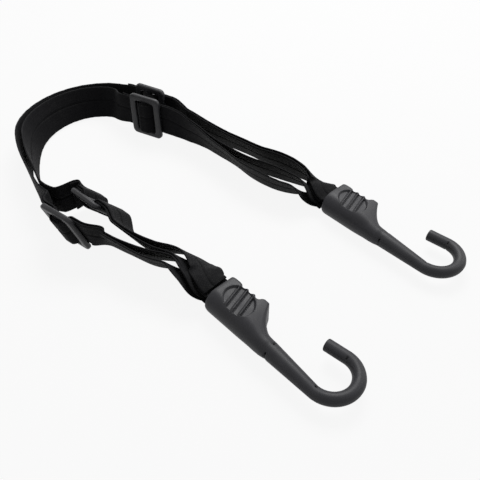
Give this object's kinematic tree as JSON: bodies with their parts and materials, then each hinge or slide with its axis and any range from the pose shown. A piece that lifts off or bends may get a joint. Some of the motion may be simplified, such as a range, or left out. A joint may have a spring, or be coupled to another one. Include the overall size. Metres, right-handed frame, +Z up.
{
  "type": "adjustable elastic luggage strap",
  "caption": "Flat elastic bungee strap: doubled bands joined by sliders, with a moulded plastic hook at each end, laid out in a U.",
  "frame": {"origin": "middle of the strap's box, on the ground it lies on", "axes": "+Z up from the ground, +X to the right of the picture, +Y away from the viewer"},
  "size_m": [0.3138, 0.2968, 0.0345],
  "materials": {
    "elastic_band": "woven black elastic webbing, dull",
    "slider_plastic": "moulded black plastic, low gloss",
    "hook_plastic": "moulded charcoal plastic, fine satin",
    "pin_steel": "plain steel wire pin"
  },
  "bodies": {
    "middle_bands": {"middle_band_outer": "elastic_band", "middle_band_inner": "elastic_band"},
    "hook_bands_near": {"hook_band_loop_near": "elastic_band", "hook_band_leg_near_outer": "elastic_band", "hook_band_leg_near_inner": "elastic_band"},
    "hook_near_body": {"hook_near": "hook_plastic", "cross_pin_near": "pin_steel"},
    "hook_bands_far": {"hook_band_loop_far": "elastic_band", "hook_band_leg_far_outer": "elastic_band", "hook_band_leg_far_inner": "elastic_band"},
    "hook_far_body": {"hook_far": "hook_plastic", "cross_pin_far": "pin_steel"},
    "slider_near_outer_body": {"slider_near_outer": "slider_plastic", "middle_band_end_near_outer": "elastic_band", "hook_band_end_near_outer": "elastic_band"},
    "slider_near_inner_body": {"slider_near_inner": "slider_plastic", "middle_band_end_near_inner": "elastic_band", "hook_band_end_near_inner": "elastic_band"},
    "slider_far_inner_body": {"slider_far_inner": "slider_plastic", "middle_band_end_far_inner": "elastic_band", "hook_band_end_far_inner": "elastic_band"},
    "slider_far_outer_body": {"slider_far_outer": "slider_plastic", "middle_band_end_far_outer": "elastic_band", "hook_band_end_far_outer": "elastic_band"}
  },
  "joints": [
    {"name": "stretch_near", "type": "slide", "parent": "middle_bands", "child": "hook_bands_near", "axis": [0.6794, -0.7337, 0], "range_m": [0, 0.05], "stiffness_N_per_m": 120, "deforming": ["hook_band_leg_near_outer", "hook_band_leg_near_inner"]},
    {"name": "rock_near", "type": "hinge", "parent": "hook_bands_near", "child": "hook_near_body", "pos_m": [0.01034, -0.08336, 0.009], "axis": [0.7337, 0.6794, 0], "range_deg": [-8, 8]},
    {"name": "stretch_far", "type": "slide", "parent": "middle_bands", "child": "hook_bands_far", "axis": [0.6704, -0.742, 0], "range_m": [0, 0.09], "stiffness_N_per_m": 120, "deforming": ["hook_band_leg_far_outer", "hook_band_leg_far_inner"]},
    {"name": "rock_far", "type": "hinge", "parent": "hook_bands_far", "child": "hook_far_body", "pos_m": [0.08643, 0.00438, 0.009], "axis": [0.742, 0.6704, 0], "range_deg": [-8, 8]},
    {"name": "adjust_near_outer", "type": "slide", "parent": "middle_bands", "child": "slider_near_outer_body", "axis": [-0.8214, 0.5703, 0], "range_m": [-0.005, 0.005], "deforming": ["middle_band_end_near_outer", "hook_band_end_near_outer"]},
    {"name": "adjust_near_inner", "type": "slide", "parent": "middle_bands", "child": "slider_near_inner_body", "axis": [-0.8951, 0.4459, 0], "range_m": [-0.005, 0.005], "deforming": ["middle_band_end_near_inner", "hook_band_end_near_inner"]},
    {"name": "adjust_far_inner", "type": "slide", "parent": "middle_bands", "child": "slider_far_inner_body", "axis": [0.878, -0.4786, 0], "range_m": [-0.005, 0.005], "deforming": ["middle_band_end_far_inner", "hook_band_end_far_inner"]},
    {"name": "adjust_far_outer", "type": "slide", "parent": "middle_bands", "child": "slider_far_outer_body", "axis": [0.8637, -0.504, 0], "range_m": [-0.005, 0.005], "deforming": ["middle_band_end_far_outer", "hook_band_end_far_outer"]}
  ]
}
